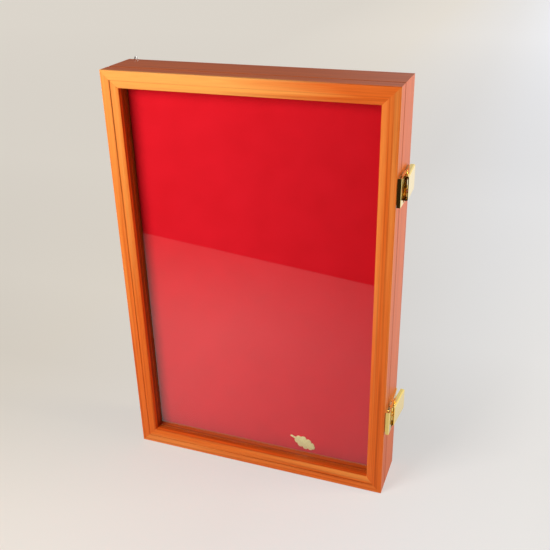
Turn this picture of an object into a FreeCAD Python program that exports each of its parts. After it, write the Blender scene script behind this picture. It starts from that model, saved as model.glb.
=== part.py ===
"""Wall display case for folding knives: a glazed door on a shallow pine box, red felt pad, brass fittings.

Frame: the case stands on its bottom edge. X runs to the viewer's right, Y runs from the door's front to the
back, Z is up. Depths are drawn from the door's front face, and each finished sub-part is then moved forward by half
the depth, so that the origin is the middle of the case's bottom.
"""
import FreeCAD
import Part
import Sketcher
import math
import os
import re

SIZES = [
    ("width", 300.0, "outside width of the case"),
    ("height", 452.0, "outside height of the case"),
    ("depth", 60.0, "door front to box back"),
    ("seam", 18.0, "depth of the joint between door and box"),
    ("gap", 0.5, "open joint between door and box"),
    ("ease", 1.0, "radius of the eased wooden edges"),
    ("frame_wide", 17.5, "door frame, outer edge to sight edge"),
    ("flat_wide", 9.7, "flat band round the door frame"),
    ("quirk", 0.7, "small step where the moulding starts"),
    ("lip_drop", 3.0, "depth of the sight edge below the front"),
    ("round", 15.0, "radius of the falling moulding"),
    ("glass_deep", 11.5, "depth of the glass below the front"),
    ("glass_thick", 2.0, "picture glass"),
    ("pane_play", 0.3, "play round the pane in its rebate"),
    ("rebate_in", 12.0, "inset of the glass rebate from the outer edge"),
    ("bead_thick", 3.8, "glazing bead, front to back"),
    ("bead_wide", 5.2, "glazing bead, across"),
    ("bead_slope", 1.8, "sloped corner of the glazing bead"),
    ("wall", 14.5, "thickness of the box walls"),
    ("panel_thick", 3.0, "hardboard back panel"),
    ("panel_deep", 4.0, "depth of the rebate for the back panel"),
    ("panel_in", 8.0, "inset of the back panel's rebate from the outer edge"),
    ("panel_play", 0.2, "play round the back panel"),
    ("brad_long", 7.0, "length of the flat brads behind the back panel"),
    ("brad_wide", 2.4, "width of the flat brads"),
    ("brad_thick", 0.6, "thickness of the flat brads"),
    ("felt_deep", 23.8, "depth of the felt below the front"),
    ("felt_thick", 1.2, "wool felt"),
    ("ornament_x", 51.5, "middle of the ornament, across"),
    ("ornament_z", 29.0, "middle of the ornament, up"),
    ("ornament_thick", 1.6, "cast ornament"),
    ("ornament_turn", -24.0, "degrees that the ornament is turned in its plane"),
    ("hinge_tall", 38.0, "length of a hinge leaf"),
    ("hinge_deep", 10.0, "width of a hinge leaf in its recess"),
    ("hinge_off", 2.1, "hinge pin axis outside the left face"),
    ("hinge_low", 70.0, "middle of the lower hinge, up"),
    ("hinge_high", 382.0, "middle of the upper hinge, up"),
    ("barrel", 1.9, "outside radius of the hinge knuckles"),
    ("hinge_pin", 0.95, "radius of the hinge pin"),
    ("hinge_bore", 1.0, "bore of the hinge knuckles"),
    ("knuckle_gap", 0.2, "free play between two knuckles"),
    ("leaf_in", 0.2, "hinge leaf inside the case's left face"),
    ("hinge_screw_in", 1.2, "hinge screws past the middle of the leaf"),
    ("hinge_screw_rise", 11.0, "hinge screws above and below the hinge's middle"),
    ("pin_head", 0.7, "thickness of the hinge pin's heads"),
    ("pin_head_in", 0.3, "hinge pin's heads inside the knuckles' outline"),
    ("recess_spare", 1.2, "how far a hinge recess runs past its leaf and the edge together"),
    ("sheet", 0.9, "thickness of the pressed brass"),
    ("latch_high", 355.2, "middle of the upper latch, up"),
    ("latch_low", 96.2, "middle of the lower latch, up"),
    ("pivot_out", 5.4, "lever pivot, out from the side"),
    ("pivot_deep", 20.0, "lever pivot, back from the front"),
    ("link_out", 3.75, "claw pivot, out from the side"),
    ("link_deep", 26.0, "claw pivot, back from the front"),
    ("base_half", 10.6, "half height of the latch base"),
    ("base_front", 18.6, "front end of the latch base"),
    ("base_back", 55.0, "back end of the latch base"),
    ("base_lip", 2.1, "height of the turned-up edges of the base"),
    ("lip_start", 28.0, "front end of the turned-up edges"),
    ("lip_short", 1.5, "turned-up edges end before the base does"),
    ("base_screw_one", 34.0, "first screw of a latch base"),
    ("base_screw_two", 47.0, "second screw of a latch base"),
    ("wall_rise", 0.5, "front wall of the base above the lever pivot"),
    ("wall_low", 9.6, "front wall of the base, below the latch's middle"),
    ("wall_high", 4.0, "front wall of the base, above the latch's middle"),
    ("slot_high", 2.1, "top of the slot in the front wall"),
    ("slot_low", 0.2, "foot of the slot in the front wall, below the middle"),
    ("slot_start", 1.5, "inner end of the slot, out from the side"),
    ("lever_half", 12.0, "half height of the lever at its front"),
    ("tail_half", 13.0, "half height of the lever at its back"),
    ("tail_turn", 3.2, "radius of the lever's back corners"),
    ("lever_front", 16.0, "front end of the lever"),
    ("lever_back", 53.5, "back end of the lever"),
    ("lever_out", 7.9, "outer face of the lever, out from the side"),
    ("lever_low", 2.4, "inner edge of the lever, out from the side"),
    ("lever_fall", 1.2, "fall of the lever's outer face from its pivot to its back end"),
    ("lever_ease", 1.4, "radius of the lever's pressed edges"),
    ("claw_half", 14.2, "half height of the claw"),
    ("arm_deep", 2.3, "width of the claw's arms, out from the side"),
    ("arm_end", 1.5, "radius of the arms' round ends"),
    ("claw_turn", 0.8, "radius of the claw's bend"),
    ("pin_out", 0.2, "claw pin past the arms at each end"),
    ("claw_front", 0.9, "front face of the claw's hook"),
    ("claw_back", 12.0, "back edge of the claw's plate"),
    ("claw_out", 3.3, "inner face of the claw's plate"),
    ("claw_low", 0.5, "edge of the claw's hook, out from the side"),
    ("keeper_half", 12.4, "half height of the keeper"),
    ("keeper_front", 2.4, "front face of the keeper's hook"),
    ("keeper_back", 15.6, "back end of the keeper"),
    ("keeper_out", 3.0, "height of the keeper's hook"),
    ("keeper_turn", 0.6, "radius of the keeper's bend"),
    ("keeper_screw", 13.0, "keeper screws, back from the front"),
    ("keeper_pitch", 7.5, "keeper screws above and below the latch's middle"),
    ("rivet", 0.8, "radius of the latch rivets"),
    ("rivet_bore", 0.87, "bores for the latch rivets"),
    ("rivet_head", 1.0, "radius of the round rivet heads"),
    ("rivet_in", 0.2, "rivets past the inner faces of the base's ears"),
    ("low_rest", 7.0, "degrees that the lower lever stands open"),
    ("screw", 0.95, "radius of the small screws"),
    ("screw_head", 1.8, "radius of the small screw heads"),
    ("screw_rise", 1.0, "height of the domed screw heads"),
    ("screw_long", 9.0, "length of the small screws in the wood"),
    ("screw_slot", 0.5, "width and depth of the slots in the screw heads"),
    ("strap_x", 143.2, "middle of the hangers, out from the middle"),
    ("strap_wide", 5.6, "width of the hanger straps"),
    ("strap_long", 20.5, "length of the hanger straps"),
    ("strap_screw", 15.5, "screw of a hanger below its loop axis"),
    ("strap_top", 10.2, "hanger loop axis below the top of the case"),
    ("strap_thick", 0.8, "thickness of the hanger straps"),
    ("wire", 0.8, "radius of the hanger rings' wire"),
    ("wire_play", 0.1, "play of the wire in its rolled loop"),
    ("wire_lift", 0.15, "loop's middle further back than the strap and the wire"),
    ("ring_turn", 1.5, "inside radius of the hanger ring's corners"),
    ("ring_base", 11.6, "width of the hanger ring along its axis"),
    ("ring_tall", 14.5, "axis of the hanger ring to its tip"),
]

doc = FreeCAD.newDocument("display_case")
sheet = doc.addObject("Spreadsheet::Sheet", "Sizes")
for row, (alias, number, note) in enumerate(SIZES, start=1):
    sheet.set("A%d" % row, alias)
    sheet.set("B%d" % row, str(number))
    sheet.set("C%d" % row, note)
    sheet.setAlias("B%d" % row, alias)
doc.recompute()

PARTS = {}
UP = FreeCAD.Vector(0, 0, 1)


def bound(expression):
    """The expression with every size name pointing at its cell."""
    return re.sub(r"\b(?!sin\b|cos\b|deg\b)[a-z][a-z_]*", r"Sizes.\g<0>", expression)


def value(expression):
    """The expression worked out as a number, in mm."""
    found = sheet.evalExpression(bound(expression))
    return float(getattr(found, "Value", found))


def bind(item, **expressions):
    """Tie properties of an object to the sheet."""
    for prop, expression in expressions.items():
        item.setExpression(prop, bound(expression))


def place(item, x="0", y="0", z="0"):
    """Tie an object's place to the sheet."""
    for axis, expression in zip("xyz", (x, y, z)):
        item.setExpression("Placement.Base." + axis, bound(expression))


def keep(item, label):
    """Note an object as a finished sub-part, and centre the case's depth on the origin."""
    laid = [text for path, text in item.ExpressionEngine if path.endswith("Placement.Base.y")]
    item.setExpression("Placement.Base.y", "%s - Sizes.depth / 2" % (laid[0] if laid else "0"))
    item.Label = label
    PARTS[label] = item


# Sketched solids

def plane_of(body, role):
    """One of a body's own origin planes."""
    return [item for item in body.Origin.OriginFeatures if item.Role == role][0]


def sketch_on(body, role, name, offset="0"):
    """An empty sketch on one of the body's planes, moved along that plane's normal."""
    sketch = body.newObject("Sketcher::SketchObject", name)
    sketch.AttachmentSupport = [(plane_of(body, role), "")]
    sketch.MapMode = "FlatFace"
    sketch.setExpression("AttachmentOffset.Base.z", bound(offset))
    return sketch


def pin_down(sketch, kind, expression, *where):
    """One sketch dimension tied to the sheet."""
    index = sketch.addConstraint(Sketcher.Constraint(kind, *where, value(expression)))
    sketch.setExpression("Constraints[%d]" % index, bound(expression))


def outline(sketch, corners):
    """A closed outline. A third entry at a corner is the radius of the arc that runs on from it:
    positive turns left, negative turns right."""
    spots = [FreeCAD.Vector(value(c[0]), value(c[1]), 0) for c in corners]
    edges = []
    for here, corner in enumerate(corners):
        start, end = spots[here], spots[(here + 1) % len(spots)]
        if len(corner) == 2:
            edges.append(sketch.addGeometry(Part.LineSegment(start, end), False))
            continue
        radius = abs(value(corner[2]))
        left = value(corner[2]) > 0
        half = (end - start) * 0.5
        reach = math.sqrt(max(radius ** 2 - half.Length ** 2, 0.0))
        across = FreeCAD.Vector(-half.y, half.x, 0).normalize() * (reach if left else -reach)
        centre = start + half + across
        turn = [math.atan2(p.y - centre.y, p.x - centre.x) for p in ((start, end) if left else (end, start))]
        arc = Part.ArcOfCircle(Part.Circle(centre, UP, radius), turn[0], turn[1])
        edges.append(sketch.addGeometry(arc, False))
    heads = [1 if len(c) == 2 or value(c[2]) > 0 else 2 for c in corners]
    for here, edge in enumerate(edges):
        after = (here + 1) % len(edges)
        sketch.addConstraint(Sketcher.Constraint("Coincident", edge, 3 - heads[here], edges[after], heads[after]))
    for edge, head, corner in zip(edges, heads, corners):
        pin_down(sketch, "DistanceX", corner[0], -1, 1, edge, head)
        pin_down(sketch, "DistanceY", corner[1], -1, 1, edge, head)
        if len(corner) == 3:
            pin_down(sketch, "Radius", corner[2].lstrip("-"), edge)


def pad(body, sketch, length):
    """A pad along the sketch plane's normal."""
    feature = body.newObject("PartDesign::Pad", sketch.Name + "_pad")
    feature.Profile = sketch
    bind(feature, Length=length)
    doc.recompute()
    return feature


def pocket(body, sketch, length):
    """A pocket along the sketch plane's normal. It has to take something away."""
    before = body.Shape.Volume
    feature = body.newObject("PartDesign::Pocket", sketch.Name + "_pocket")
    feature.Profile = sketch
    feature.Reversed = True
    bind(feature, Length=length)
    doc.recompute()
    if body.Shape.Volume > before - 1e-3:
        raise RuntimeError(feature.Name + " cuts nothing")
    return feature


def rectangle(x, y, wide, tall):
    """The corners of an upright rectangle from its lowest corner."""
    right, top = "(%s) + (%s)" % (x, wide), "(%s) + (%s)" % (y, tall)
    return [(x, y), (right, y), (right, top), (x, top)]


# Plain solids

def block(x, y, z, wide, deep, tall):
    """A box from its lowest corner."""
    item = doc.addObject("Part::Box", "block")
    bind(item, Length=wide, Width=deep, Height=tall)
    place(item, x, y, z)
    return item


def rod(x, y, z, radius, length, axis=UP):
    """A round rod that starts at a point and runs along an axis."""
    item = doc.addObject("Part::Cylinder", "rod")
    item.Placement = FreeCAD.Placement(FreeCAD.Vector(), FreeCAD.Rotation(UP, axis))
    bind(item, Radius=radius, Height=length)
    place(item, x, y, z)
    return item


def joined(items):
    """Several solids made one."""
    item = doc.addObject("Part::MultiFuse", "joined")
    item.Shapes = items
    item.Refine = True
    return item


def without(base, tools):
    """A solid with others taken out of it."""
    item = doc.addObject("Part::Cut", "cut")
    item.Base = base
    item.Tool = tools[0] if len(tools) == 1 else joined(tools)
    item.Refine = True
    return item


def group(label, shapes):
    """Identical fasteners: separate solids under one name."""
    item = doc.addObject("Part::Feature", label)
    item.Shape = Part.makeCompound(shapes)
    keep(item, label)


# Where things go

LEFT, RIGHT = FreeCAD.Vector(-1, 0, 0), FreeCAD.Vector(1, 0, 0)
FRONT, BACK = FreeCAD.Vector(0, -1, 0), FreeCAD.Vector(0, 1, 0)
DOWN = FreeCAD.Vector(0, 0, -1)

# A frame member lies along its own X, its inset from the outer edge is its own Y, its depth its own Z.
SIDES = {
    "bottom_rail": (UP, "0", "0", "width"),
    "top_rail": (DOWN, "0", "height", "width"),
    "left_stile": (RIGHT, "-width / 2", "height / 2", "height"),
    "right_stile": (LEFT, "width / 2", "height / 2", "height"),
}


def set_on_side(item, side):
    """Turn a frame member to its side of the frame."""
    inward, x, z, _ = SIDES[side]
    along = inward.cross(BACK)
    item.Placement = FreeCAD.Placement(FreeCAD.Vector(), FreeCAD.Rotation(along, inward, BACK, "XYZ"))
    place(item, x, "0", z)


def member(name, side, profile, start, wide, deep):
    """A frame member with its moulded profile and a mitre at each end. start is the inset of its outer face."""
    body = doc.addObject("PartDesign::Body", name)
    length = "(%s - 2 * (%s))" % (SIDES[side][3], start)
    section = sketch_on(body, "YZ_Plane", name + "_section", "-%s / 2" % length)
    outline(section, profile)
    pad(body, section, length)
    ends = sketch_on(body, "XY_Plane", name + "_mitre")
    for end in ("", "-"):
        tip = "%s%s / 2" % (end, length)
        inner = "%s(%s / 2 - (%s))" % (end, length, wide)
        outline(ends, [(tip, start), (tip, "%s + %s" % (start, wide)), (inner, "%s + %s" % (start, wide))])
    pocket(body, ends, deep)
    set_on_side(body, side)
    return body


def bores(places, axis, radius, length):
    """Pilot holes for a row of screws."""
    return [rod(x, y, z, radius, length, axis) for x, y, z in places]


# Screw places: hinge screws run along Y, latch and hanger screws where their plates are

def hinge_screw_places():
    """The two screws of each leaf, as (x, z)."""
    return [("hinge_deep / 2 + hinge_screw_in - width / 2", "%s %s hinge_screw_rise" % (middle, way))
            for middle in ("hinge_low", "hinge_high") for way in "+-"]


def keeper_screw_places():
    """The two screws of each keeper, as (y, z)."""
    return [("keeper_screw", "%s %s keeper_pitch" % (middle, way))
            for middle in ("latch_low", "latch_high") for way in "+-"]


def base_screw_places():
    """The two screws of each latch base, as (y, z)."""
    return [(back, middle) for middle in ("latch_low", "latch_high")
            for back in ("base_screw_one", "base_screw_two")]


def strap_screw_places():
    """The screw of each hanger, as (x, z)."""
    return [(side + "strap_x", "height - strap_top - strap_screw") for side in ("-", "")]


# The door

DOOR_PROFILE = [
    ("0", "ease", "ease"), ("ease", "0"), ("flat_wide", "0"), ("flat_wide", "quirk", "round"),
    ("frame_wide", "lip_drop"), ("frame_wide", "glass_deep"), ("rebate_in", "glass_deep"),
    ("rebate_in", "seam - gap / 2"), ("ease", "seam - gap / 2", "ease"), ("0", "seam - gap / 2 - ease"),
]


def make_door_frame():
    """Four moulded members with mitred corners, recesses for the hinges and pilot holes."""
    for side in SIDES:
        body = member("door_%s_stick" % side, side, DOOR_PROFILE, "0", "frame_wide", "seam")
        if side == "left_stile":
            recess = [block("-width / 2 - 1", "seam - gap / 2 - sheet", "%s - hinge_tall / 2" % middle,
                            "hinge_deep + recess_spare", "sheet + 1", "hinge_tall")
                      for middle in ("hinge_low", "hinge_high")]
            screws = [(x, "seam", z) for x, z in hinge_screw_places()]
            body = without(body, recess + bores(screws, FRONT, "screw", "1 + sheet + screw_long"))
        elif side == "right_stile":
            screws = [("width / 2 + 1", y, z) for y, z in keeper_screw_places()]
            body = without(body, bores(screws, LEFT, "screw", "screw_long + 1"))
        keep(body, "door_" + side)


def make_glass():
    """The pane and the four beads that hold it in its rebate."""
    body = doc.addObject("PartDesign::Body", "glass_pane")
    face = sketch_on(body, "XY_Plane", "pane_face")
    inset = "(rebate_in + pane_play)"
    outline(face, rectangle("%s - width / 2" % inset, inset, "width - 2 * " + inset, "height - 2 * " + inset))
    pad(body, face, "glass_thick")
    body.Placement = FreeCAD.Placement(FreeCAD.Vector(), FreeCAD.Rotation(LEFT, UP, BACK, "XYZ"))
    place(body, "0", "glass_deep", "0")
    keep(body, "glass_pane")
    top, low = "glass_deep + glass_thick + bead_thick", "glass_deep + glass_thick"
    profile = [("rebate_in", low), ("rebate_in + bead_wide", low), ("rebate_in + bead_wide", low + " + bead_slope"),
               ("rebate_in + bead_wide - bead_slope", top), ("rebate_in", top)]
    for side in SIDES:
        bead = member("bead_" + side, side, profile, "rebate_in", "bead_wide", "seam")
        keep(bead, "glass_bead_" + side.split("_")[0])


# The box

BOX_PROFILE = [
    ("0", "seam + gap / 2 + ease", "ease"), ("ease", "seam + gap / 2"), ("wall", "seam + gap / 2"),
    ("wall", "depth - panel_deep"), ("panel_in", "depth - panel_deep"), ("panel_in", "depth"),
    ("ease", "depth", "ease"), ("0", "depth - ease"),
]


def make_box_frame():
    """Four box walls with mitred corners, a rebate for the back, recesses for the hinges and pilot holes."""
    for side in SIDES:
        body = member("box_%s_stick" % side, side, BOX_PROFILE, "0", "wall", "depth")
        straps = [(x, "depth + 1", z) for x, z in strap_screw_places()]
        if side == "left_stile":
            recess = [block("-width / 2 - 1", "seam + gap / 2 - 1", "%s - hinge_tall / 2" % middle,
                            "hinge_deep + recess_spare", "sheet + 1", "hinge_tall")
                      for middle in ("hinge_low", "hinge_high")]
            screws = [(x, "seam", z) for x, z in hinge_screw_places()]
            body = without(body, recess + bores(screws, BACK, "screw", "1 + sheet + screw_long")
                           + bores(straps[:1], FRONT, "screw", "screw_long + 1"))
        elif side == "right_stile":
            screws = [("width / 2 + 1", y, z) for y, z in base_screw_places()]
            body = without(body, bores(screws, LEFT, "screw", "screw_long + 1")
                           + bores(straps[1:], FRONT, "screw", "screw_long + 1"))
        keep(body, "box_" + side)


def make_back_and_pad():
    """The back panel, and the felt-covered foam pad that the knives lie on."""
    inset = "(panel_in + panel_play)"
    keep(block("%s - width / 2" % inset, "depth - panel_deep", inset, "width - 2 * " + inset, "panel_thick",
               "height - 2 * " + inset), "back_panel")
    keep(block("-(width / 2 - wall - felt_thick)", "felt_deep + felt_thick", "wall + felt_thick",
               "width - 2 * (wall + felt_thick)", "depth - panel_deep - felt_deep - felt_thick",
               "height - 2 * (wall + felt_thick)"), "foam_pad")
    cover = block("-(width / 2 - wall)", "felt_deep", "wall", "width - 2 * wall",
                  "depth - panel_deep - felt_deep", "height - 2 * wall")
    hollow = block("-(width / 2 - wall - felt_thick)", "felt_deep + felt_thick", "wall + felt_thick",
                   "width - 2 * (wall + felt_thick)", "depth", "height - 2 * (wall + felt_thick)")
    keep(without(cover, [hollow]), "felt_cover")


LEAF_EDGE = [
    ("-17", "-0.9"), ("-10.5", "-1.3", "3.6"), ("-5.4", "-5", "3.7"), ("1.6", "-5.6", "3.6"),
    ("8.3", "-4.4", "2.9"), ("13.2", "-2.6", "2.8"), ("13.2", "2.6", "2.9"), ("8.3", "4.4", "3.6"),
    ("1.6", "5.6", "3.7"), ("-5.4", "5", "3.6"), ("-10.5", "1.3"), ("-17", "0.9"),
]


def make_ornament():
    """A small cast leaf on the felt, near the lower right corner."""
    body = doc.addObject("PartDesign::Body", "ornament")
    face = sketch_on(body, "XY_Plane", "leaf_edge")
    outline(face, LEAF_EDGE)
    pad(body, face, "ornament_thick")
    tilt = FreeCAD.Rotation(UP, value("ornament_turn"))
    body.Placement = FreeCAD.Placement(FreeCAD.Vector(), FreeCAD.Rotation(RIGHT, UP, FRONT, "XYZ").multiply(tilt))
    place(body, "ornament_x", "felt_deep", "ornament_z")
    keep(body, "leaf_ornament")


# Screws, pins and brads

def screw_shape(spot, axis, sink=False):
    """A small wood screw. spot is the middle of the head's seat, axis points into the wood."""
    shank, head, long, cut = (value(size) for size in ("screw", "screw_head", "screw_long", "screw_slot"))
    out = axis * -1
    solid = Part.makeCylinder(shank, long, spot, axis)
    if sink:
        solid = solid.fuse(Part.makeCone(head, shank, value("sheet"), spot, axis))
        slot = Part.makeBox(cut, 2 * head, cut, FreeCAD.Vector(-cut / 2, -head, -0.01))
    else:
        rise = value("screw_rise")
        ball = (head ** 2 + rise ** 2) / (2 * rise)
        cap = Part.makeSphere(ball, spot + out * (rise - ball))
        solid = solid.fuse(cap.common(Part.makeCylinder(head, rise, spot, out)))
        slot = Part.makeBox(cut, 2 * head, cut, FreeCAD.Vector(-cut / 2, -head, -rise - 0.01))
    slot.Placement = FreeCAD.Placement(spot, FreeCAD.Rotation(UP, axis))
    return solid.cut(slot)


def spot_of(x, y, z):
    """A point from three expressions."""
    return FreeCAD.Vector(value(x), value(y), value(z))


def make_screws():
    """The wood screws of the hinges, latches and hangers, and the brads of the back panel and beads."""
    group("hinge_screws_door", [screw_shape(spot_of(x, "seam - gap / 2", z), FRONT, True)
                                for x, z in hinge_screw_places()])
    group("hinge_screws_box", [screw_shape(spot_of(x, "seam + gap / 2", z), BACK, True)
                               for x, z in hinge_screw_places()])
    group("keeper_screws", [screw_shape(spot_of("width / 2 + sheet", y, z), LEFT) for y, z in keeper_screw_places()])
    group("latch_base_screws", [screw_shape(spot_of("width / 2 + sheet", y, z), LEFT)
                                for y, z in base_screw_places()])
    group("hanger_screws", [screw_shape(spot_of(x, "depth + strap_thick", z), FRONT)
                            for x, z in strap_screw_places()])


def brad_rows(inset, count_wide, count_tall):
    """Evenly spaced brads along the four sides of a rectangle, as (x, z, way out)."""
    half, tall = value("width / 2") - value(inset), value("height")
    low, high = value(inset), tall - value(inset)
    spots = []
    for step in range(count_wide):
        x = half * (2 * (step + 0.5) / count_wide - 1)
        spots += [(x, low, DOWN), (x, high, UP)]
    for step in range(count_tall):
        z = low + (high - low) * (step + 0.5) / count_tall
        spots += [(-half, z, LEFT), (half, z, RIGHT)]
    return spots


def make_brads():
    """Flat glazier's brads behind the back panel. Each lies on the panel with its tip at the rebate's wall."""
    long, wide, thick = (value("brad_" + size) for size in ("long", "wide", "thick"))
    deep = value("depth - panel_deep + panel_thick")
    shapes = []
    for x, z, out in brad_rows("panel_in + panel_play", 3, 4):
        inward = out * -1
        across = inward.cross(BACK)
        tip = FreeCAD.Vector(x, deep, z)
        brad = Part.makeBox(long, wide, thick, FreeCAD.Vector(0, -wide / 2, 0))
        brad.Placement = FreeCAD.Placement(tip, FreeCAD.Rotation(inward, across * -1, BACK, "XYZ"))
        shapes.append(brad)
    group("back_panel_brads", shapes)


# The hinges

KNUCKLES = 5


def make_hinge(name, middle):
    """A brass butt hinge: two leaves in their recesses and a pin through five knuckles."""
    axis_x = "-(width / 2 + hinge_off)"
    foot = "%s - hinge_tall / 2" % middle
    pitch = "hinge_tall / %d" % KNUCKLES
    for leaf, own, low in (("box", (0, 2, 4), "seam + gap / 2"), ("door", (1, 3), "seam - gap / 2 - sheet")):
        pieces = [block("leaf_in - width / 2", low, foot, "hinge_deep", "sheet", "hinge_tall")]
        for turn in own:
            start = "%s + %d * %s + knuckle_gap / 2" % (foot, turn, pitch)
            tall = "%s - knuckle_gap" % pitch
            pieces.append(rod(axis_x, "seam", start, "barrel", tall))
            pieces.append(block(axis_x, low, start, "hinge_off + 2 * leaf_in", "sheet", tall))
        holes = [rod(axis_x, "seam", foot + " - 1", "hinge_bore", "hinge_tall + 2")]
        out, seat = (BACK, "seam + gap / 2") if leaf == "box" else (FRONT, "seam - gap / 2")
        for x, z in hinge_screw_places():
            if middle in z:
                cone = doc.addObject("Part::Cone", "sink")
                cone.Placement = FreeCAD.Placement(FreeCAD.Vector(), FreeCAD.Rotation(UP, out))
                bind(cone, Radius1="screw_head", Radius2="screw", Height="sheet")
                place(cone, x, seat, z)
                holes.append(cone)
        keep(without(joined(pieces), holes), "%s_hinge_leaf_%s" % (name, leaf))
    pin = joined([rod(axis_x, "seam", foot, "hinge_pin", "hinge_tall"),
                  rod(axis_x, "seam", foot + " - pin_head", "barrel - pin_head_in", "pin_head"),
                  rod(axis_x, "seam", foot + " + hinge_tall", "barrel - pin_head_in", "pin_head")])
    keep(pin, "%s_hinge_pin" % name)


# The latches. Each piece is drawn about the point that it turns on, then set on the right side of the case.

def make_keeper(name, middle):
    """The hooked plate on the door's edge."""
    body = doc.addObject("PartDesign::Body", name + "_keeper_plate")
    section = sketch_on(body, "XY_Plane", name + "_keeper_section", "-keeper_half")
    outline(section, [("0", "keeper_front + keeper_turn", "keeper_turn"), ("keeper_turn", "keeper_front"),
                      ("keeper_out", "keeper_front"),
                      ("keeper_out", "keeper_front + sheet"), ("sheet", "keeper_front + sheet"),
                      ("sheet", "keeper_back"), ("0", "keeper_back")])
    pad(body, section, "2 * keeper_half")
    place(body, "width / 2", "0", middle)
    holes = bores([("width / 2 + 2", y, z) for y, z in keeper_screw_places() if middle in z], LEFT, "screw", "3")
    keep(without(body, holes), name + "_keeper")


def make_latch_base(name, middle):
    """The plate on the box's side: two ears for the lever, turned-up edges and a slotted wall at its front."""
    pieces = [block("0", "base_front", "-base_half", "sheet", "base_back - base_front", "2 * base_half")]
    for low in ("-base_half", "base_half - sheet"):
        pieces.append(block("0", "lip_start", low, "base_lip", "base_back - lip_short - lip_start", "sheet"))
        pieces.append(block("0", "base_front", low, "pivot_out", "2 * (pivot_deep - base_front)", "sheet"))
        pieces.append(rod("pivot_out", "pivot_deep", low, "pivot_deep - base_front", "sheet"))
    pieces.append(block("0", "base_front", "-wall_low", "pivot_out + wall_rise", "sheet", "wall_low + wall_high"))
    holes = [rod("pivot_out", "pivot_deep", "-base_half - 1", "rivet_bore", "2 * base_half + 2")]
    holes.append(block("slot_start", "base_front - 1", "-slot_low", "pivot_out - slot_start", "3",
                       "slot_low + slot_high"))
    holes += bores([("3", back, "0") for back, z in base_screw_places() if z == middle], LEFT, "screw", "4")
    base = without(joined(pieces), holes)
    place(base, "width / 2", "0", middle)
    keep(base, name + "_latch_base")


def lever_edge(inset, reach):
    """The lever's outline from the side, drawn about its pivot: it widens to rounded back corners."""
    front, end = "lever_front - pivot_deep - (%s)" % reach, "lever_back - pivot_deep - (%s)" % inset
    mouth, tail, turn = ["(%s - (%s))" % (size, inset) for size in ("lever_half", "tail_half", "tail_turn")]
    return [(front, "-" + mouth), ("%s - %s" % (end, turn), "-" + tail, turn), (end, "-%s + %s" % (tail, turn)),
            (end, "%s - %s" % (tail, turn), turn), ("%s - %s" % (end, turn), tail), (front, mouth)]


def lever_solid(name, inset, reach, low, out):
    """A solid with the lever's outline, drawn about its pivot. Its outer face falls towards its back end."""
    body = doc.addObject("PartDesign::Body", name)
    edge = sketch_on(body, "YZ_Plane", name + "_edge", "%s - pivot_out" % low)
    outline(edge, lever_edge(inset, reach))
    pad(body, edge, "(%s) - (%s)" % (out, low))
    slope = sketch_on(body, "XY_Plane", name + "_slope", "-tail_half - 1")
    face, end = "(%s) - pivot_out" % out, "lever_back - pivot_deep"
    outline(slope, [(face, "0"), (face + " + 1", "0"), (face + " + 1", end), (face + " - lever_fall", end)])
    return body, pocket(body, slope, "2 * tail_half + 2")


def make_lever(name, middle, rest):
    """The lever: a pressed pan open to the box and at its front, with its two rivets and the claw's pin."""
    pan, solid = lever_solid(name + "_lever_pan", "0", "0", "lever_low", "lever_out")
    face, fall, end = value("lever_out - pivot_out"), value("lever_fall"), value("lever_back - pivot_deep")
    rims = []
    for number, rim in enumerate(solid.Shape.Edges, start=1):
        spots = [corner.Point for corner in rim.Vertexes]
        near, far = min(spot.y for spot in spots), max(spot.y for spot in spots)
        on_face = all(spot.x > face - fall * max(spot.y, 0) / end - 0.01 for spot in spots)
        if on_face and (far > near + 0.01 or near > 1):
            rims.append("Edge%d" % number)
    ease = pan.newObject("PartDesign::Fillet", name + "_lever_ease")
    ease.Base = (solid, rims)
    bind(ease, Radius="lever_ease")
    inside, _ = lever_solid(name + "_lever_inside", "sheet", "1", "lever_low - 1", "lever_out - sheet")
    over_x, over_y = "link_out - pivot_out", "link_deep - pivot_deep"
    holes = [rod(x, y, "-lever_half - 1", "rivet", "2 * lever_half + 2")
             for x, y in (("0", "0"), (over_x, over_y))]
    lever = without(pan, [inside] + holes)
    set_on_latch(lever, middle, rest)
    keep(lever, name + "_latch_lever")
    ends = []
    # The lever widens towards its back, so the heads stand where its flanks have got to behind them.
    share = "(pivot_deep + rivet_head - lever_front) / (lever_back - tail_turn - lever_front)"
    flank = "(lever_half + (tail_half - lever_half) * %s)" % share
    long = flank + " - base_half + sheet + rivet_in"
    for foot, face, way in (("-" + flank, "-" + flank, DOWN), ("base_half - sheet - rivet_in", flank, UP)):
        head = doc.addObject("Part::Sphere", "head")
        head.Placement = FreeCAD.Placement(FreeCAD.Vector(), FreeCAD.Rotation(UP, way))
        head.Angle1 = 0
        bind(head, Radius="rivet_head")
        place(head, "0", "0", face)
        ends.append(joined([head, rod("0", "0", foot, "rivet", long)]))
    pin = rod(over_x, over_y, "-(claw_half + pin_out)", "rivet", "2 * (claw_half + pin_out)")
    for solids, label in ((ends, "_latch_rivets"), ([pin], "_claw_pin")):
        piece = doc.addObject("Part::Compound", name + label)
        piece.Links = solids
        set_on_latch(piece, middle, rest)
        keep(piece, name + label)


def set_on_latch(item, middle, rest):
    """Put a piece drawn about the lever's pivot on the case, turned open by the rest angle."""
    item.Placement = FreeCAD.Placement(FreeCAD.Vector(), FreeCAD.Rotation(DOWN, value(rest)))
    place(item, "width / 2 + pivot_out", "pivot_deep", middle)


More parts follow.
